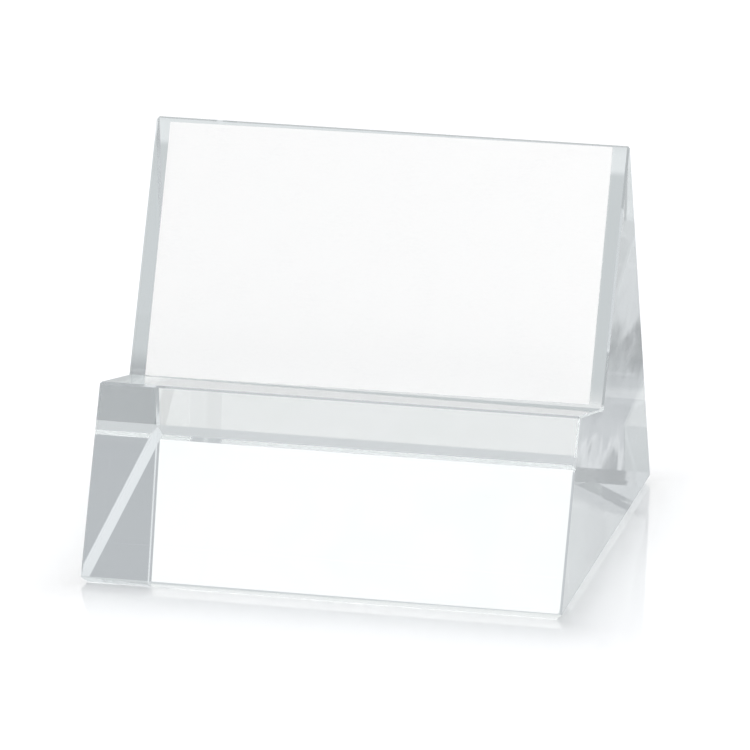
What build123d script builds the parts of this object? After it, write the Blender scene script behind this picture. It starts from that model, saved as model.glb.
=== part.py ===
from build123d import *

import os
from math import cos, radians, sin

# Desk stand for business cards: two blocks of clear crystal bonded into one wedge, with two blank cards in it.
# Millimetres, +Z up, +X along the width, the front faces -Y. The origin is the middle of the footprint, on the
# surface that the stand rests on.

# Cards that the stand is cut for
CARD_WIDTH = 88.9
CARD_HEIGHT = 50.8
CARD_THICKNESS = 0.4

# Whole block
SIDE_MARGIN = 3.55  # bare crystal on each side of a card
TOP_MARGIN = 0.8  # bare crystal above a card that stands square
BASE_DEPTH = 80.0
TOP_FLAT = 1.0

# Front block, with the ledge that its top makes
LIP_HEIGHT = 35.7
LIP_SETBACK = 17.4
LEDGE_DEPTH = 20.0
LEDGE_FALL = 5.5

# Backrest
BACKREST_LEAN = 27.6  # degrees from upright

# Ground edges
FOOT_BEVEL = 1.6  # along the front and the back
END_FOOT_BEVEL = 1.2  # along the two ends
EDGE_BEVEL = 0.4

# Clear adhesive between the two blocks
BOND_THICKNESS = 0.1

# How the two cards stand
CARD_GAP = 0.06
CARD_TILT = 0.4  # degrees, right side up
FRONT_CARD_SHIFT = 0.8
REAR_CARD_SHIFT = -0.1

# Side profile, as depth behind the foot of the front face and height
block_width = CARD_WIDTH + 2 * SIDE_MARGIN
lean = radians(BACKREST_LEAN)
backrest_slant = CARD_HEIGHT + TOP_MARGIN

front_foot = Vector(0, 0)
lip = Vector(LIP_SETBACK, LIP_HEIGHT)
ledge_root = lip + Vector(LEDGE_DEPTH, -LEDGE_FALL)
top_front = ledge_root + Vector(sin(lean), cos(lean)) * backrest_slant
top_back = top_front + Vector(TOP_FLAT, 0)
back_foot = Vector(BASE_DEPTH, 0)

# Backrest plane: its x runs across the stand, its y up the backrest and its z out of it, from the ledge's root
backrest = Plane(
    origin=(0, ledge_root.X, ledge_root.Y),
    x_dir=(1, 0, 0),
    z_dir=(0, -cos(lean), sin(lean)),
)


def foot_planes() -> list[Plane]:
    """The four bevels around the foot, each facing out of the block and down."""
    planes = []
    for foot, along_base, face_top in (
        (front_foot, Vector(1, 0), lip),
        (back_foot, Vector(-1, 0), top_back),
    ):
        inward = along_base + (face_top - foot).normalized()
        start = foot + along_base * FOOT_BEVEL
        planes.append(Plane(origin=(0, start.X, start.Y), z_dir=(0, -inward.X, -inward.Y)))
    for side in (-1, 1):
        planes.append(Plane(origin=(side * block_width / 2, 0, END_FOOT_BEVEL), z_dir=(side, 0, -1)))
    return planes


def ground_wedge() -> Part:
    """Both blocks in one, with the bevels that are ground along the outer edges once they are bonded."""
    outline = Polyline(front_foot, lip, ledge_root, top_front, top_back, back_foot, close=True)
    wedge = extrude(Plane.YZ * make_face(outline), amount=block_width / 2, both=True)

    foot_edges = wedge.edges().group_by(Axis.Z)[0]
    end_edges = wedge.faces().filter_by(Axis.X).edges() - foot_edges
    lip_edge = wedge.edges().filter_by(Axis.X).sort_by_distance((0, lip.X, lip.Y))[0]
    wedge = chamfer([*end_edges, lip_edge], EDGE_BEVEL)

    for bevel in foot_planes():
        wedge = split(wedge, bisect_by=bevel, keep=Keep.BOTTOM)
    return wedge


def card(layer: int, shift: float) -> Part:
    """One blank card, the layer-th out from the backrest, tilted about the corner that stands on the ledge."""
    stand_off = CARD_GAP + layer * (CARD_THICKNESS + CARD_GAP)
    blank = Box(CARD_WIDTH, CARD_HEIGHT, CARD_THICKNESS, align=(Align.MIN, Align.MIN, Align.MIN))

    # The ledge isn't square to the backrest, so the card stands on its rear or its front bottom edge
    ledge_front = backrest.to_local_coords(Vector(0, lip.X, lip.Y))
    ledge_slope = ledge_front.Y / ledge_front.Z
    lift = max(ledge_slope * stand_off, ledge_slope * (stand_off + CARD_THICKNESS)) + CARD_GAP

    corner = Pos(shift - CARD_WIDTH / 2, lift, stand_off)
    return backrest * corner * Rot(0, 0, CARD_TILT) * blank


# The bond lies along the backrest plane, below the ledge
wedge = ground_wedge()
bond_front = backrest.offset(BOND_THICKNESS)
front_block = split(wedge, bisect_by=bond_front, keep=Keep.TOP)
behind_front = split(wedge, bisect_by=bond_front, keep=Keep.BOTTOM)
rear_wedge = split(behind_front, bisect_by=backrest, keep=Keep.BOTTOM)
bond_film = split(behind_front, bisect_by=backrest, keep=Keep.TOP)

nodes = {
    "front_block": front_block,
    "rear_wedge": rear_wedge,
    "bond_film": bond_film,
    "rear_card": card(0, REAR_CARD_SHIFT),
    "front_card": card(1, FRONT_CARD_SHIFT),
}

# The origin goes to the middle of the footprint
box = wedge.bounding_box()
to_origin = Pos(0, -box.center().Y, -box.min.Z)

os.makedirs("parts", exist_ok=True)
for name, shape in nodes.items():
    placed = to_origin * shape
    print(name, len(placed.solids()), round(placed.volume, 1), placed.is_valid)
    export_step(placed, f"parts/{name}.step")
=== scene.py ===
"""Looks of the crystal card stand: its finishes, a plain studio and the camera.

All is in metres and in the frame's axes: +X to the right, +Y to the back and +Z up.
"""

import logging
from dataclasses import dataclass
from enum import Enum
from math import cos, radians, sin

import bpy
from mathutils import Matrix, Vector


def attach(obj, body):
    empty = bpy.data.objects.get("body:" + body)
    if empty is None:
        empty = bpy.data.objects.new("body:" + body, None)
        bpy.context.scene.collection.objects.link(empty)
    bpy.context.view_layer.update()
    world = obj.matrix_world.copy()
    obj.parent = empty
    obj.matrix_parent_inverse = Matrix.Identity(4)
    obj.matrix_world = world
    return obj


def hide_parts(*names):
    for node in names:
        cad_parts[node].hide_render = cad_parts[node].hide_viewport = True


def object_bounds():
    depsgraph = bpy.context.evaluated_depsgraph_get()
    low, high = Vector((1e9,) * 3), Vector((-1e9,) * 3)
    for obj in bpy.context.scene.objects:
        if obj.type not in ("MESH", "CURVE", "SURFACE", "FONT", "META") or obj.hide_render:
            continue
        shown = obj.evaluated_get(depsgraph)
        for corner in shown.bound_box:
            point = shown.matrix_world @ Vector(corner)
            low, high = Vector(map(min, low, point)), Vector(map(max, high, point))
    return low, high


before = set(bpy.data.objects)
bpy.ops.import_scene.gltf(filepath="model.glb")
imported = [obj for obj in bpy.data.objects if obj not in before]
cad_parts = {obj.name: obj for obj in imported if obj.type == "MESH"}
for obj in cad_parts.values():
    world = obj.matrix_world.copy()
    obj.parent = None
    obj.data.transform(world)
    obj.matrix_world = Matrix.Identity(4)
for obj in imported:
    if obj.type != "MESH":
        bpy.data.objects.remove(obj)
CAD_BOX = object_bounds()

log = logging.getLogger("card_stand")

Rgb = tuple[float, float, float]
Point = tuple[float, float, float]
Span = tuple[float, float]
Bands = tuple[tuple[float, Rgb], ...]
Value = float | Rgb | bpy.types.NodeSocket

BLACK: Rgb = (0.0, 0.0, 0.0)
WHITE: Rgb = (1.0, 1.0, 1.0)


class Face(Enum):
    """What was done to a face of the crystal, with the number of its material slot."""

    POLISHED = 0
    GROUND = 1
    BONDED = 2
    END = 3
    ARRIS = 4


class CardFace(Enum):
    """Which side of a card a face is, with the number of its material slot."""

    BOARD = 0
    CUT = 1


class Graph:
    """A node tree, with short calls that add a node and join it up."""

    def __init__(self, tree: bpy.types.NodeTree) -> None:
        """Takes the tree over and empties it.

        Args:
            tree: The node tree to fill.
        """
        self.tree = tree
        tree.nodes.clear()

    def node(
        self, kind: str, inputs: dict[str | int, Value] | None = None, **options: object
    ) -> bpy.types.Node:
        """Adds a node.

        Args:
            kind: The node's type without its leading ShaderNode or Node.
            inputs: A value or a socket for each input, by name or number.
            **options: The node's own settings.

        Returns:
            The new node.
        """
        prefix = "Node" if kind in ("GroupInput", "GroupOutput") else "ShaderNode"
        made = self.tree.nodes.new(prefix + kind)
        for option, setting in options.items():
            setattr(made, option, setting)
        for key, value in (inputs or {}).items():
            self.put(made.inputs[key], value)
        return made

    def put(self, socket: bpy.types.NodeSocket, value: Value) -> None:
        """Sets an input to a value, or links a socket to it.

        Args:
            socket: The input.
            value: A number, a colour of three numbers, or the output to link.
        """
        if isinstance(value, bpy.types.NodeSocket):
            self.tree.links.new(value, socket)
        elif socket.type == "RGBA":
            socket.default_value = (*value, 1.0)
        else:
            socket.default_value = value

    def sum(self, operation: str, *values: Value) -> bpy.types.NodeSocket:
        """Adds a Math node.

        Args:
            operation: Its operation.
            *values: Its inputs in order.

        Returns:
            Its result.
        """
        return self.node("Math", dict(enumerate(values)), operation=operation).outputs[0]

    def fade(self, distance: Value, reach: float) -> bpy.types.NodeSocket:
        """Falls from 1 to about a third at the reach, and on towards 0.

        Args:
            distance: What is mapped.
            reach: The distance of about a third.

        Returns:
            The mapped value.
        """
        return self.sum("EXPONENT", self.sum("MULTIPLY", distance, -1.0 / reach))

    def noise(
        self, where: Value, scale: Value, detail: float, twist: float = 0.0
    ) -> bpy.types.NodeSocket:
        """Adds a noise.

        Args:
            where: The place or direction that it is read at.
            scale: How fine it is.
            detail: How many finer layers it has.
            twist: How far it is distorted.

        Returns:
            Its value, about 0 to 1.
        """
        inputs = {"Vector": where, "Scale": scale, "Detail": detail, "Distortion": twist}
        return self.node("TexNoise", inputs).outputs[0]

    def scale(self, value: Value, low: Value, high: Value) -> bpy.types.NodeSocket:
        """Maps 0 to 1 evenly onto low to high.

        Args:
            value: What is mapped.
            low: The result at 0.
            high: The result at 1.

        Returns:
            The mapped value.
        """
        inputs = {"Value": value, "To Min": low, "To Max": high}
        return self.node("MapRange", inputs).outputs["Result"]

    def ramp(
        self, value: Value, start: float, end: float, low: Value = 0.0, high: Value = 1.0
    ) -> bpy.types.NodeSocket:
        """Adds a smooth step from low at start to high at end.

        Args:
            value: What is mapped.
            start: Where the step begins. It may be above end.
            end: Where the step ends.
            low: The result at start.
            high: The result at end.

        Returns:
            The mapped value.
        """
        inputs = {"Value": value, "From Min": start, "From Max": end, "To Min": low, "To Max": high}
        return self.node("MapRange", inputs, interpolation_type="SMOOTHSTEP").outputs["Result"]

    def window(self, value: Value, rise: Span, fall: Span) -> bpy.types.NodeSocket:
        """Steps up from 0 to 1 and down again.

        Args:
            value: What is mapped.
            rise: Where it is 0 and where it reaches 1.
            fall: Where it is 0 again and where it leaves 1.

        Returns:
            The mapped value.
        """
        return self.sum("MULTIPLY", self.ramp(value, *rise), self.ramp(value, *fall))

    def bands(self, value: Value, stops: Bands) -> bpy.types.NodeSocket:
        """Adds a colour ramp.

        Args:
            value: What is mapped.
            stops: The colour at each value, in rising order.

        Returns:
            The colour, blended evenly between the stops.
        """
        first, last = stops[0][0], stops[-1][0]
        inputs = {"Value": value, "From Min": first, "From Max": last}
        share = self.node("MapRange", inputs).outputs["Result"]
        ramp = self.node("ValToRGB", {0: share})
        elements = ramp.color_ramp.elements
        elements[0].color = (*stops[0][1], 1.0)
        elements[1].color = (*stops[-1][1], 1.0)
        for place, colour in stops[1:-1]:
            elements.new((place - first) / (last - first)).color = (*colour, 1.0)
        return ramp.outputs["Color"]

    def mix(self, share: Value, first: Value, second: Value) -> bpy.types.NodeSocket:
        """Adds a colour mix.

        Args:
            share: How much of the second colour there is.
            first: The first colour.
            second: The second colour.

        Returns:
            The mixed colour.
        """
        return self.node("Mix", {0: share, 6: first, 7: second}, data_type="RGBA").outputs[2]

    def happened(self, depth: bpy.types.NodeSocket) -> bpy.types.NodeSocket:
        """Tells by one of Light Path's depths whether light has met that kind of surface.

        Args:
            depth: How many it has met.

        Returns:
            1 where it has met any, else 0.
        """
        return self.sum("GREATER_THAN", depth, 0.5)


class Effect:
    """A surface effect that several finishes share, as a shader node group that is built once."""

    title = ""
    inputs: dict[str, str] = {}
    outputs: dict[str, str] = {}

    @classmethod
    def group(cls) -> bpy.types.NodeTree:
        """Gives the effect's node group, and builds it at the first call.

        Returns:
            The node group.
        """
        found = bpy.data.node_groups.get(cls.title)
        if found:
            return found
        tree = bpy.data.node_groups.new(cls.title, "ShaderNodeTree")
        for direction, sockets in (("INPUT", cls.inputs), ("OUTPUT", cls.outputs)):
            for name, kind in sockets.items():
                tree.interface.new_socket(name, in_out=direction, socket_type="NodeSocket" + kind)
        graph = Graph(tree)
        given = graph.node("GroupInput").outputs
        wanted = graph.node("GroupOutput").inputs
        for name, socket in cls.fill(graph, given).items():
            graph.put(wanted[name], socket)
        return tree

    @classmethod
    def fill(cls, graph: Graph, given: bpy.types.NodeOutputs) -> dict[str, bpy.types.NodeSocket]:
        """Builds the nodes inside the group.

        Args:
            graph: The group's graph.
            given: The group's inputs.

        Returns:
            The socket for each output, by its name.
        """
        raise NotImplementedError

    @classmethod
    def place(cls, graph: Graph, **values: Value) -> bpy.types.NodeOutputs:
        """Puts the effect in a material.

        Args:
            graph: The material's graph.
            **values: The group's inputs, with _ for a space.

        Returns:
            The outputs of the placed group.
        """
        placed = graph.node("Group", node_tree=cls.group())
        for name, value in values.items():
            graph.put(placed.inputs[name.replace("_", " ")], value)
        return placed.outputs


class HandlingHaze(Effect):
    """Faint patches of haze that handling leaves on glass, with dust and slow waves of polish."""

    title = "handling_haze"
    inputs = {
        "Patch Scale": "Float",
        "Clear": "Float",
        "Hazed": "Float",
        "Tint": "Color",
        "Hazed Tint": "Color",
    }
    outputs = {"Roughness": "Float", "Tint": "Color", "Grain": "Float", "Ripple": "Float"}

    dust_scale = 2600.0
    ripple_scale = 48.0
    patch_step: Span = (0.45, 0.75)
    dust_step: Span = (0.3, 0.7)
    dust_share: Span = (0.85, 1.0)

    @classmethod
    def fill(cls, graph: Graph, given: bpy.types.NodeOutputs) -> dict[str, bpy.types.NodeSocket]:
        """Builds patches from a broad noise, and breaks them up with a fine one.

        Args:
            graph: The group's graph.
            given: The group's inputs.

        Returns:
            The socket for each output, by its name.
        """
        where = graph.node("TexCoord").outputs["Object"]
        patches = graph.noise(where, given["Patch Scale"], detail=3.0, twist=0.6)
        grain = graph.noise(where, cls.dust_scale, detail=2.0)
        dust = graph.ramp(grain, *cls.dust_step, *cls.dust_share)
        haze = graph.sum("MULTIPLY", graph.ramp(patches, *cls.patch_step), dust)
        return {
            "Roughness": graph.scale(haze, given["Clear"], given["Hazed"]),
            "Tint": graph.mix(haze, given["Tint"], given["Hazed Tint"]),
            "Grain": grain,
            "Ripple": graph.noise(where, cls.ripple_scale, detail=1.5, twist=0.8),
        }


class PaperFibre(Effect):
    """Matted fibres of uncoated board: a fine relief, and a slight unevenness of its white."""

    title = "paper_fibre"
    inputs = {"Fibre Scale": "Float", "White": "Color", "Shade": "Color"}
    outputs = {"Colour": "Color", "Roughness": "Float", "Height": "Float"}

    stretch: Point = (1.0, 3.4, 3.4)
    cloud_scale = 140.0
    fibre_step: Span = (0.35, 0.8)
    cloud_step: Span = (0.3, 0.8)
    cloud_share: Span = (0.35, 1.0)
    rough_step: Span = (0.2, 0.8)
    roughness: Span = (0.62, 0.78)

    @classmethod
    def fill(cls, graph: Graph, given: bpy.types.NodeOutputs) -> dict[str, bpy.types.NodeSocket]:
        """Builds stretched noise for the fibres and a broader noise for the pulp's clouding.

        Args:
            graph: The group's graph.
            given: The group's inputs.

        Returns:
            The socket for each output, by its name.
        """
        where = graph.node("TexCoord").outputs["Object"]
        drawn = graph.node("Mapping", {"Vector": where, "Scale": cls.stretch}).outputs[0]
        fibres = graph.noise(drawn, given["Fibre Scale"], detail=4.0, twist=1.2)
        clouds = graph.noise(where, cls.cloud_scale, detail=3.0)
        clouded = graph.ramp(clouds, *cls.cloud_step, *cls.cloud_share)
        shade = graph.sum("MULTIPLY", graph.ramp(fibres, *cls.fibre_step), clouded)
        return {
            "Colour": graph.mix(shade, given["White"], given["Shade"]),
            "Roughness": graph.ramp(fibres, *cls.rough_step, *cls.roughness),
            "Height": fibres,
        }


def new_material(name: str) -> tuple[bpy.types.Material, Graph]:
    """Starts a material.

    Args:
        name: The material's name.

    Returns:
        The material and its empty graph.
    """
    material = bpy.data.materials.new(name)
    material.use_nodes = True
    return material, Graph(material.node_tree)


@dataclass(frozen=True)
class CrystalFinish:
    """A finish of clear crystal.

    Attributes:
        name: The material's name.
        tint: Colour of light that has gone in and out.
        hazed_tint: The same where the face is hazed.
        refraction: Index of refraction.
        clear: Roughness where the face is clean.
        hazed: Roughness where it is hazed.
        grain: Depth of the grinding marks, in metres.
        ripple: Depth of the broad waves that hand polishing leaves, in metres.
        patch_scale: How fine the patches of haze are.
    """

    name: str
    tint: Rgb
    hazed_tint: Rgb
    refraction: float
    clear: float
    hazed: float
    grain: float = 0.0
    ripple: float = 0.0
    patch_scale: float = 55.0

    def material(self) -> bpy.types.Material:
        """Makes the material.

        Returns:
            The new material.
        """
        material, graph = new_material(self.name)
        haze = HandlingHaze.place(
            graph,
            Patch_Scale=self.patch_scale,
            Clear=self.clear,
            Hazed=self.hazed,
            Tint=self.tint,
            Hazed_Tint=self.hazed_tint,
        )
        shader = graph.node(
            "BsdfPrincipled",
            {
                "Base Color": haze["Tint"],
                "Roughness": haze["Roughness"],
                "IOR": self.refraction,
                "Transmission Weight": 1.0,
            },
        )
        for relief, depth in (("Grain", self.grain), ("Ripple", self.ripple)):
            if depth:
                marks = {"Height": haze[relief], "Distance": depth, "Strength": 1.0}
                graph.put(shader.inputs["Normal"], graph.node("Bump", marks).outputs[0])
        graph.node("OutputMaterial", {"Surface": shader.outputs[0]})
        return material


@dataclass(frozen=True)
class BoardFinish:
    """A finish of white card.

    Attributes:
        name: The material's name.
        white: The board's colour.
        shade: Its colour between the fibres.
        fibre_scale: How fine the fibres are.
        relief: How deep they are, in metres.
        gloss: Strength of its mirror light.
        sheen: Strength of the light that its nap scatters.
    """

    name: str
    white: Rgb
    shade: Rgb
    fibre_scale: float
    relief: float
    gloss: float = 0.3
    sheen: float = 0.04

    def material(self) -> bpy.types.Material:
        """Makes the material.

        Returns:
            The new material.
        """
        material, graph = new_material(self.name)
        fibre = PaperFibre.place(
            graph, Fibre_Scale=self.fibre_scale, White=self.white, Shade=self.shade
        )
        relief = {"Height": fibre["Height"], "Distance": self.relief, "Strength": 1.0}
        shader = graph.node(
            "BsdfPrincipled",
            {
                "Base Color": fibre["Colour"],
                "Roughness": fibre["Roughness"],
                "Normal": graph.node("Bump", relief).outputs[0],
                "Specular IOR Level": self.gloss,
                "Sheen Weight": self.sheen,
            },
        )
        graph.node("OutputMaterial", {"Surface": shader.outputs[0]})
        return material


CRYSTAL_INDEX = 1.52
NO_BEND = 1.0  # index of a face that light crosses as if it weren't there
POLISHED_TINTS: tuple[Rgb, Rgb] = ((0.945, 0.968, 0.972), (0.93, 0.955, 0.955))
GROUND_TINTS: tuple[Rgb, Rgb] = ((0.95, 0.97, 0.972), (0.92, 0.945, 0.945))
BOND_TINTS: tuple[Rgb, Rgb] = (WHITE, (0.985, 0.99, 0.985))

CRYSTAL_FINISHES: dict[Face, CrystalFinish] = {
    Face.POLISHED: CrystalFinish(
        "polished_crystal", *POLISHED_TINTS, CRYSTAL_INDEX, clear=0.008, hazed=0.04
    ),
    Face.GROUND: CrystalFinish(
        "ground_edge", *GROUND_TINTS, CRYSTAL_INDEX, clear=0.05, hazed=0.1, grain=2e-7
    ),
    Face.BONDED: CrystalFinish("clear_bond", *BOND_TINTS, NO_BEND, clear=0.0, hazed=0.01),
    Face.END: CrystalFinish(
        "sawn_end", *POLISHED_TINTS, CRYSTAL_INDEX, clear=0.008, hazed=0.04, ripple=2.5e-5
    ),
    Face.ARRIS: CrystalFinish(
        "soft_arris", *GROUND_TINTS, CRYSTAL_INDEX, clear=0.12, hazed=0.2, grain=2e-7
    ),
}
CARD_FINISHES: dict[CardFace, BoardFinish] = {
    CardFace.BOARD: BoardFinish(
        "card_board", (0.95, 0.95, 0.95), (0.915, 0.917, 0.92), fibre_scale=900.0, relief=6e-6
    ),
    CardFace.CUT: BoardFinish(
        "cut_edge", (0.86, 0.86, 0.865), (0.74, 0.745, 0.75), fibre_scale=2400.0, relief=1.5e-5
    ),
}


def give_slots(mesh: bpy.types.Mesh, materials: list[bpy.types.Material]) -> None:
    """Replaces a mesh's material slots.

    Args:
        mesh: The mesh.
        materials: Its materials, in the order of their slots.
    """
    mesh.materials.clear()
    for material in materials:
        mesh.materials.append(material)


def facing(polygon: bpy.types.MeshPolygon) -> Point:
    """Rounds a face's direction, so that the faces of one plane share it.

    Args:
        polygon: The face.

    Returns:
        Its normal to two places.
    """
    return tuple(round(part, 2) + 0.0 for part in polygon.normal)


@dataclass
class CrystalHolder:
    """The two crystal blocks and the film that bonds them.

    Attributes:
        root_depth: Where the ledge meets the backrest, along Y.
        root_height: Its height.
        lean: The backrest's lean from upright, in degrees.
        film: Thickness of the film's gap.
        film_slack: Share of that gap that the film leaves free.
        touch: How near a face is to the bond's plane to count as bonded.
        square: A face is square to a direction where the cosine between them is above this.
        narrow: A flat face of less than this area, in square metres, is a ground edge.
        hairline: An edge of less than this area may be a softly ground arris.
        arris_side: The least X part of an arris's direction, to either side.
        arris_back: The least Y part of its direction, so that it doesn't face the front.
    """

    root_depth: float = -0.002769
    root_height: float = 0.0302
    lean: float = 27.6
    film: float = 1e-4
    film_slack: float = 0.2
    touch: float = 1.5e-4
    square: float = 0.999
    narrow: float = 3.2e-4
    hairline: float = 9e-5
    arris_side: float = 0.5
    arris_back: float = -0.1

    @property
    def root(self) -> Vector:
        """The middle of the ledge's root."""
        return Vector((0.0, self.root_depth, self.root_height))

    @property
    def outward(self) -> Vector:
        """The direction that the backrest faces."""
        return Vector((0.0, -cos(radians(self.lean)), sin(radians(self.lean))))

    @property
    def upward(self) -> Vector:
        """The direction up the backrest."""
        return Vector((0.0, sin(radians(self.lean)), cos(radians(self.lean))))

    def build(self) -> list[bpy.types.Object]:
        """Makes the film a hair thinner than its gap, so that no two faces of the bond coincide.

        Returns:
            The crystal pieces that show.
        """
        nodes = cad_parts
        mesh = nodes["bond_film"].data.copy()
        mesh.name = "bond_layer"
        for vertex in mesh.vertices:
            off = (vertex.co - self.root).dot(self.outward)
            vertex.co.y += (self.film / 2 - off) * self.film_slack / self.outward.y
        layer = bpy.data.objects.new("bond_layer", mesh)
        bpy.context.scene.collection.objects.link(layer)
        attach(layer, "holder")
        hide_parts("bond_film")
        return [nodes["front_block"], nodes["rear_wedge"], layer]

    def face_kind(self, polygon: bpy.types.MeshPolygon, areas: dict[Point, float]) -> Face:
        """Tells what was done to a face.

        Args:
            polygon: The face.
            areas: The area of all that faces each way.

        Returns:
            The kind of face.
        """
        normal, from_root = polygon.normal, polygon.center - self.root
        along = abs(normal.dot(self.outward)) > self.square
        below = from_root.dot(self.upward) < 0.0
        if along and below and abs(from_root.dot(self.outward)) < self.touch:
            return Face.BONDED
        if abs(normal.x) > self.square:
            return Face.END
        area = areas[facing(polygon)]
        sideways = abs(normal.x) > self.arris_side and normal.y > self.arris_back
        if area < self.hairline and sideways:
            return Face.ARRIS
        return Face.GROUND if area < self.narrow else Face.POLISHED

    def dress(self, pieces: list[bpy.types.Object]) -> None:
        """Gives each face of the crystal its finish.

        Args:
            pieces: The crystal pieces that show.
        """
        materials = [CRYSTAL_FINISHES[kind].material() for kind in Face]
        for piece in pieces:
            mesh = piece.data
            give_slots(mesh, materials)
            areas: dict[Point, float] = {}
            for polygon in mesh.polygons:
                areas[facing(polygon)] = areas.get(facing(polygon), 0.0) + polygon.area
            for polygon in mesh.polygons:
                polygon.use_smooth = False
                polygon.material_index = self.face_kind(polygon, areas).value
            counts = [sum(p.material_index == kind.value for p in mesh.polygons) for kind in Face]
            log.info("%s: %d polished, %d ground, %d bonded, %d end, %d arris", piece.name, *counts)


@dataclass
class CardPair:
    """The two blank cards on the ledge.

    Attributes:
        outward: The direction that their faces look.
        names: Their nodes, from the backrest out.
        flat: A face is a board's where its cosine to that direction is above this.
    """

    outward: Vector
    names: tuple[str, str] = ("rear_card", "front_card")
    flat: float = 0.99

    def dress(self) -> None:
        """Gives the boards and their cut edges their finishes."""
        materials = [CARD_FINISHES[side].material() for side in CardFace]
        for name in self.names:
            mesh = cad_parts[name].data
            give_slots(mesh, materials)
            for polygon in mesh.polygons:
                flat = abs(polygon.normal.dot(self.outward)) > self.flat
                polygon.material_index = (CardFace.BOARD if flat else CardFace.CUT).value
            log.info("%s: %d faces", name, len(mesh.polygons))


@dataclass(frozen=True)
class Lamp:
    """A soft square lamp that is aimed at the stand.

    Attributes:
        name: Its name.
        place: Where it hangs.
        size: Length of its sides.
        power: Its power, in watts.
        shadow: Whether it casts shadows.
    """

    name: str
    place: Point
    size: float
    power: float
    shadow: bool = True

    def hang(self, target: Vector) -> bpy.types.Object:
        """Makes the lamp, which lights the stand but doesn't show in the crystal or the table.

        Args:
            target: Where it is aimed.

        Returns:
            The lamp.
        """
        light = bpy.data.lights.new(self.name, "AREA")
        light.size = self.size
        light.energy = self.power
        light.use_shadow = self.shadow
        lamp = bpy.data.objects.new(self.name, light)
        lamp.location = self.place
        lamp.rotation_euler = (target - Vector(self.place)).to_track_quat("-Z", "Y").to_euler()
        lamp.visible_glossy = False
        lamp.visible_transmission = False
        bpy.context.scene.collection.objects.link(lamp)
        log.info("%s: %.1f W", self.name, self.power)
        return lamp


@dataclass(frozen=True)
class SoftFill:
    """Even light that plain surfaces get from all round.

    Attributes:
        before: From the front.
        behind: From behind.
        below: From the table.
        through: From the front and the table, on what is seen or lit through the crystal.
        behind_through: The same from behind.
        turn: Where the front gives way to behind, by the Y part of the direction.
    """

    before: Rgb = (0.7, 0.7, 0.7)
    behind: Rgb = (1.1, 1.1, 1.1)
    below: Rgb = (1.0, 1.0, 1.0)
    through: Rgb = (1.45, 1.45, 1.45)
    behind_through: Rgb = (2.5, 2.5, 2.5)
    turn: Span = (-0.1, 0.3)


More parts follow.
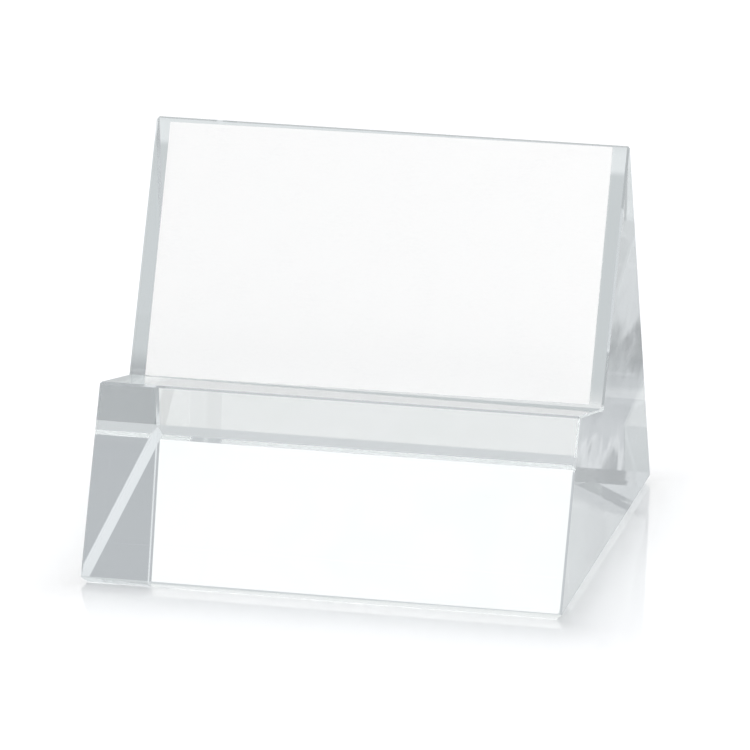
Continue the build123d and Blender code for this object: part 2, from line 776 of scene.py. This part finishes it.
@dataclass
class Table:
    """A glossy white table, with a mirror image that fades out away from the stand, painted shade
    beside, behind and beneath the stand, and a painted streak of light behind it.

    Attributes:
        half_width: Half the table's width.
        gap: How far the table is below the stand's underside.
        white: The table's colour.
        cloud_scale: How fine its faint clouding is.
        cloud_tone: Share of its colour that the clouds keep.
        lift: Light that the camera sees added to the table, up to white.
        painted_foot_shade: Share of the table's colour and lift that painted shade takes away
            beside the stand's foot.
        painted_shade_fade: How far from the stand that painted shade falls to about a third.
        before: The glow painted on the table for its light, as the crystal shows it, in front of
            the stand.
        behind: The same behind the stand, darker with painted shade from the stand.
        beneath: The same beneath its front half, darker still with painted shade under the stand.
        beneath_turn: Where, along Y, the painted shade beneath turns as light as that behind.
        beneath_reach: Where, in from the edge of the foot, the painted shade beneath comes in.
        painted_light_streak: The same in a painted streak of light that lies across the table
            behind the stand.
        streak_turn: How far back the streak runs for each metre to the right.
        streak_start: Where, along Y, the streak comes up.
        streak_end: Where it fades again.
        shine: Share of a mirror image right beside the stand.
        shine_fade: How far from the stand that image falls to about a third.
        deep_shine: Share of the mirror image that the crystal shows right behind the stand.
        deep_reach: Where that image is gone and where it is whole.
        shine_roughness: Roughness of the mirror images.
    """

    half_width: float = 4.0
    gap: float = 8e-5
    white: Rgb = (0.8, 0.81, 0.825)
    cloud_scale: float = 8.0
    cloud_tone: float = 0.985
    lift: float = 0.27
    painted_foot_shade: float = 0.15
    painted_shade_fade: float = 0.009
    before: Rgb = (0.86, 0.875, 0.885)
    behind: Rgb = (0.64, 0.665, 0.675)
    beneath: Rgb = (0.48, 0.5, 0.51)
    beneath_turn: Span = (0.006, 0.034)
    beneath_reach: Span = (0.002, 0.004)
    painted_light_streak: Rgb = (0.86, 0.88, 0.89)
    streak_turn: float = 0.02
    streak_start: Span = (0.0838, 0.0852)
    streak_end: Span = (0.0875, 0.0925)
    shine: float = 0.55
    shine_fade: float = 0.012
    deep_shine: float = 0.95
    deep_reach: Span = (0.0115, 0.007)
    shine_roughness: float = 0.03

    def build(self, fill: SoftFill) -> bpy.types.Object:
        """Makes the table.

        Args:
            fill: The even light that it gives to plain surfaces.

        Returns:
            The table.
        """
        mesh = bpy.data.meshes.new("table")
        half = self.half_width
        corners = [(-half, -half, 0), (half, -half, 0), (half, half, 0), (-half, half, 0)]
        mesh.from_pydata(corners, [], [(0, 1, 2, 3)])
        table = bpy.data.objects.new("table", mesh)
        table.location.z = -self.gap
        bpy.context.scene.collection.objects.link(table)
        mesh.materials.append(self.material(fill))
        log.info("table: %.1f m wide", 2 * half)
        return table

    def material(self, fill: SoftFill) -> bpy.types.Material:
        """Makes the table's material.

        Args:
            fill: The even light that it gives to plain surfaces.

        Returns:
            The new material.
        """
        material, graph = new_material("glossy_table")
        where = graph.node("TexCoord").outputs["Object"]
        axes = graph.node("SeparateXYZ", {0: where}).outputs
        light_path = graph.node("LightPath").outputs
        scattered = graph.happened(light_path["Diffuse Depth"])
        through = graph.happened(light_path["Transmission Depth"])
        distance, depth = self.from_foot(graph, axes)
        beneath = graph.ramp(depth, *self.beneath_reach)

        soft = graph.mix(through, fill.below, fill.through)
        # Rays that aren't scattered see the table glow with painted light and shade; scattered ones
        # get the even fill.
        lit = graph.mix(scattered, self.painted_table_light(graph, axes, beneath), soft)
        even = graph.node("Emission", {"Color": lit}).outputs[0]
        seen = self.seen_surface(graph, where, distance)
        plain = graph.node(
            "MixShader", {0: light_path["Is Camera Ray"], 1: even, 2: seen}
        ).outputs[0]

        near = graph.sum("MULTIPLY", graph.fade(distance, self.shine_fade), self.shine)
        deep = graph.ramp(distance, *self.deep_reach, 0.0, self.deep_shine)
        deep = graph.sum("MULTIPLY", deep, graph.sum("SUBTRACT", 1.0, beneath))
        share = graph.node(
            "Mix", {0: light_path["Is Transmission Ray"], 2: near, 3: deep}
        ).outputs[0]
        share = graph.sum("MULTIPLY", share, graph.sum("SUBTRACT", 1.0, scattered))
        mirror = graph.node("BsdfGlossy", {"Roughness": self.shine_roughness}).outputs[0]
        surface = graph.node("MixShader", {0: share, 1: plain, 2: mirror}).outputs[0]
        graph.node("OutputMaterial", {"Surface": surface})
        return material

    def from_foot(
        self, graph: Graph, axes: bpy.types.NodeOutputs
    ) -> tuple[bpy.types.NodeSocket, bpy.types.NodeSocket]:
        """Measures from the edge of the stand's foot.

        Args:
            graph: The material's graph.
            axes: The place on the table.

        Returns:
            How far out from the edge, and how far in from it.
        """
        low, high = CAD_BOX
        squares, inside = [], []
        for axis in (0, 1):
            middle, reach = (low[axis] + high[axis]) / 2, (high[axis] - low[axis]) / 2
            off = graph.sum("ABSOLUTE", graph.sum("SUBTRACT", axes[axis], middle))
            outside = graph.sum("MAXIMUM", graph.sum("SUBTRACT", off, reach), 0.0)
            squares.append(graph.sum("MULTIPLY", outside, outside))
            inside.append(graph.sum("SUBTRACT", reach, off))
        return graph.sum("SQRT", graph.sum("ADD", *squares)), graph.sum("MINIMUM", *inside)

    def seen_surface(
        self, graph: Graph, where: bpy.types.NodeSocket, distance: bpy.types.NodeSocket
    ) -> bpy.types.NodeSocket:
        """Builds the table as the camera sees it, with painted shade beside the foot that fades
        with distance from it.

        Args:
            graph: The material's graph.
            where: The place on the table.
            distance: How far that is from the foot.

        Returns:
            The shader.
        """
        cloud = graph.noise(where, self.cloud_scale, detail=3.0)
        clouded = tuple(self.cloud_tone * part for part in self.white)
        colour = graph.mix(cloud, self.white, clouded)
        # Painted shade: the table's colour and lift are darkened near the foot, by distance from
        # it.
        lit = graph.scale(graph.fade(distance, self.painted_shade_fade), 1.0, 1.0 - self.painted_foot_shade)
        diffuse = graph.node("BsdfDiffuse", {"Color": graph.mix(lit, BLACK, colour)}).outputs[0]
        lift = graph.sum("MULTIPLY", lit, self.lift)
        glow = graph.node("Emission", {"Strength": lift}).outputs[0]
        return graph.node("AddShader", {0: diffuse, 1: glow}).outputs[0]

    def painted_table_light(
        self, graph: Graph, axes: bpy.types.NodeOutputs, beneath: bpy.types.NodeSocket
    ) -> bpy.types.NodeSocket:
        """Builds the glow painted on the table as the crystal shows it: painted shade behind and
        beneath the stand, and a painted streak of light.

        Args:
            graph: The material's graph.
            axes: The place on the table.
            beneath: Where the table is beneath the stand.

        Returns:
            The painted colour.
        """
        low, high = CAD_BOX
        # Painted shade: the glow darkens from the front of the stand to its back.
        lit = graph.mix(graph.ramp(axes["Y"], low.y, high.y), self.before, self.behind)
        # Painted shade beneath the stand, which turns as light as behind it further back.
        under = graph.mix(graph.ramp(axes["Y"], *self.beneath_turn), self.beneath, self.behind)
        lit = graph.mix(beneath, lit, under)
        # A painted streak of light across the table behind the stand.
        skew = graph.sum("MULTIPLY", axes["X"], self.streak_turn)
        across = graph.sum("SUBTRACT", axes["Y"], skew)
        start, end = graph.ramp(across, *self.streak_start), graph.ramp(across, *self.streak_end)
        return graph.mix(graph.sum("SUBTRACT", start, end), lit, self.painted_light_streak)


@dataclass
class Surroundings:
    """The studio round the table: white to the camera, and its walls to the crystal.

    A direction is told by its turn, in radians to the right of the back, and by its Y and Z parts.

    Attributes:
        room: The room, where it is darkest.
        room_pale: The same where it is palest.
        room_scale: How fine its light and dark patches are.
        room_step: Where their noise turns from dark to pale.
        ceiling: The pale ceiling, high all round.
        ceiling_reach: The Z where it begins and where it is whole.
        cornice: The bands of a wall panel to the left of the front, by their Z.
        panel_rise: The turn where that panel begins and where it is whole.
        panel_fall: The turn where it is gone again and where it begins to go.
        panel_foot: The Z where it begins and where it is whole.
        panel_head: The Z where it is gone again and where it begins to go.
        gap_wall: The grey gap to the right of the backdrop.
        gap_rise: The turn where the gap begins and where it is whole.
        gap_fall: The turn where it is gone again and where it begins to go.
        backdrop: The white backdrop, behind and to the left.
        backdrop_rise: The turn where it begins and where it is whole.
        backdrop_fall: The turn where it is gone again and where it begins to go.
        backdrop_head: The Z where it is gone and where it begins to go.
        horizon: The pale far end of the table, low all round.
        horizon_reach: The Z where it is gone and where it is whole, at the back.
        horizon_rise: How much higher it is at the front.
        horizon_turn: The Y where that rise begins and where it is whole.
    """

    room: Rgb = (0.4, 0.415, 0.43)
    room_pale: Rgb = (0.68, 0.7, 0.72)
    room_scale: float = 3.0
    room_step: Span = (0.35, 0.65)
    ceiling: Rgb = (0.86, 0.88, 0.9)
    ceiling_reach: Span = (0.92, 0.955)
    cornice: Bands = (
        (0.66, (0.6, 0.62, 0.64)),
        (0.697, (0.78, 0.79, 0.81)),
        (0.7035, (0.74, 0.75, 0.77)),
        (0.7040, (0.08, 0.09, 0.1)),
        (0.7068, (0.2, 0.21, 0.225)),
        (0.7092, (0.58, 0.595, 0.62)),
        (0.7144, (0.64, 0.655, 0.68)),
        (0.7148, (0.92, 0.93, 0.95)),
        (0.7163, (0.88, 0.89, 0.91)),
        (0.7166, (0.3, 0.315, 0.33)),
        (0.73, (0.42, 0.435, 0.45)),
        (0.8, (0.42, 0.435, 0.45)),
        (0.805, (0.2, 0.215, 0.225)),
        (0.815, (0.25, 0.265, 0.275)),
        (0.82, (0.5, 0.515, 0.53)),
    )
    panel_rise: Span = (-3.02, -2.97)
    panel_fall: Span = (-2.62, -2.7)
    panel_foot: Span = (0.64, 0.66)
    panel_head: Span = (0.85, 0.825)
    gap_wall: Rgb = (0.485, 0.503, 0.522)
    gap_rise: Span = (radians(3.0), radians(9.0))
    gap_fall: Span = (radians(60.0), radians(40.0))
    backdrop: Rgb = (1.08, 1.08, 1.08)
    backdrop_rise: Span = (radians(-42.0), radians(-36.0))
    backdrop_fall: Span = (radians(9.0), radians(3.0))
    backdrop_head: Span = (0.785, 0.768)
    horizon: Rgb = (0.83, 0.85, 0.87)
    horizon_reach: Span = (0.34, 0.28)
    horizon_rise: float = 0.2
    horizon_turn: Span = (0.0, -0.3)

    def build(self, fill: SoftFill) -> bpy.types.World:
        """Makes the world.

        Args:
            fill: The even light that it gives to plain surfaces.

        Returns:
            The world.
        """
        world = bpy.data.worlds.new("studio")
        world.use_nodes = True
        graph = Graph(world.node_tree)
        way = graph.node("TexCoord").outputs["Generated"]
        axes = graph.node("SeparateXYZ", {0: way}).outputs
        light_path = graph.node("LightPath").outputs
        scattered = graph.happened(light_path["Diffuse Depth"])
        through = graph.happened(light_path["Transmission Depth"])

        before = graph.mix(through, fill.before, fill.through)
        behind = graph.mix(through, fill.behind, fill.behind_through)
        soft = graph.mix(graph.ramp(axes["Y"], *fill.turn), before, behind)
        lit = graph.mix(scattered, self.walls(graph, way, axes), soft)
        colour = graph.mix(light_path["Is Camera Ray"], lit, WHITE)
        background = graph.node("Background", {"Color": colour, "Strength": 1.0}).outputs[0]
        graph.node("OutputWorld", {"Surface": background})
        bpy.context.scene.world = world
        log.info("studio: backdrop, walls and fill")
        return world

    def walls(
        self, graph: Graph, way: bpy.types.NodeSocket, axes: bpy.types.NodeOutputs
    ) -> bpy.types.NodeSocket:
        """Builds the studio as the crystal shows it, from the room to what stands before it.

        Args:
            graph: The world's graph.
            way: The direction.
            axes: Its parts.

        Returns:
            The colour.
        """
        turn = graph.sum("ARCTAN2", axes["X"], axes["Y"])
        patches = graph.noise(way, self.room_scale, detail=2.0)
        walls = graph.mix(graph.ramp(patches, *self.room_step), self.room, self.room_pale)
        walls = graph.mix(graph.ramp(axes["Z"], *self.ceiling_reach), walls, self.ceiling)

        panel = graph.sum(
            "MULTIPLY",
            graph.window(turn, self.panel_rise, self.panel_fall),
            graph.window(axes["Z"], self.panel_foot, self.panel_head),
        )
        walls = graph.mix(panel, walls, graph.bands(axes["Z"], self.cornice))
        walls = graph.mix(graph.window(turn, self.gap_rise, self.gap_fall), walls, self.gap_wall)

        sheet = graph.sum(
            "MULTIPLY",
            graph.window(turn, self.backdrop_rise, self.backdrop_fall),
            graph.ramp(axes["Z"], *self.backdrop_head),
        )
        walls = graph.mix(sheet, walls, self.backdrop)

        rise = graph.ramp(axes["Y"], *self.horizon_turn, 0.0, self.horizon_rise)
        height = graph.sum("SUBTRACT", axes["Z"], rise)
        return graph.mix(graph.ramp(height, *self.horizon_reach), walls, self.horizon)


@dataclass
class Studio:
    """The table, its surroundings and the soft lamps.

    Attributes:
        fill: The even light.
        lamps: The lamps.
    """

    fill: SoftFill = SoftFill()
    lamps: tuple[Lamp, ...] = (
        Lamp("key_panel", (0.9, -1.2, 0.8), size=1.0, power=8.3, shadow=False),
        Lamp("top_panel", (0.1, 0.2, 1.5), size=1.0, power=2.0),
    )

    def build(self) -> None:
        """Makes the table, the surroundings and the lamps."""
        Table().build(self.fill)
        Surroundings().build(self.fill)
        low, high = CAD_BOX
        for lamp in self.lamps:
            lamp.hang((low + high) / 2)


@dataclass(frozen=True)
class PhotoCamera:
    """The camera, from the right of the front and above, with a long lens.

    Attributes:
        target: The point in the middle of the picture.
        azimuth: Degrees to the right of the front.
        elevation: Degrees above the table.
        roll: Degrees that the picture is turned.
        distance: From the target.
        lens: Focal length in millimetres.
        sensor: Width of the sensor in millimetres.
    """

    target: Point = (0.0041, -0.00987, 0.0364)
    azimuth: float = 14.71
    elevation: float = 19.66
    roll: float = -0.91
    distance: float = 1.4539
    lens: float = 358.46
    sensor: float = 36.0

    def build(self) -> bpy.types.Object:
        """Makes the camera and gives it to the scene.

        Returns:
            The camera.
        """
        turn, tilt, roll = (radians(angle) for angle in (self.azimuth, self.elevation, self.roll))
        ahead = Vector((-sin(turn) * cos(tilt), cos(turn) * cos(tilt), -sin(tilt)))
        level = Vector((cos(turn), sin(turn), 0.0))
        above = level.cross(ahead)
        right = cos(roll) * level + sin(roll) * above
        up = cos(roll) * above - sin(roll) * level
        data = bpy.data.cameras.new("photo_camera")
        data.lens = self.lens
        data.sensor_width = self.sensor
        data.sensor_fit = "HORIZONTAL"
        camera = bpy.data.objects.new("photo_camera", data)
        axes = Matrix((right, up, -ahead)).transposed().to_4x4()
        camera.matrix_world = Matrix.Translation(Vector(self.target) - ahead * self.distance) @ axes
        bpy.context.scene.collection.objects.link(camera)
        bpy.context.scene.camera = camera
        log.info("camera: %.1f mm lens at %.2f m", self.lens, self.distance)
        return camera


@dataclass(frozen=True)
class Picture:
    """How the picture is taken: plain colours, and light that may turn often inside the crystal.

    Attributes:
        view_transform: How light becomes colour.
        max_bounces: How often light may turn in all.
        glossy_bounces: The same at mirrors.
        transmission_bounces: The same through clear faces.
        diffuse_bounces: The same at plain surfaces.
    """

    view_transform: str = "Standard"
    max_bounces: int = 32
    glossy_bounces: int = 24
    transmission_bounces: int = 28
    diffuse_bounces: int = 4

    def set(self) -> None:
        """Gives the settings to the scene."""
        scene = bpy.context.scene
        scene.view_settings.view_transform = self.view_transform
        scene.cycles.max_bounces = self.max_bounces
        scene.cycles.glossy_bounces = self.glossy_bounces
        scene.cycles.transmission_bounces = self.transmission_bounces
        scene.cycles.diffuse_bounces = self.diffuse_bounces


def main() -> None:
    """Builds the stand's looks, the studio and the camera, in that order."""
    logging.basicConfig(level=logging.INFO, format="%(name)s: %(message)s")
    Picture().set()
    holder = CrystalHolder()
    holder.dress(holder.build())
    CardPair(holder.outward).dress()
    Studio().build()
    PhotoCamera().build()


if __name__ == "__main__":
    main()
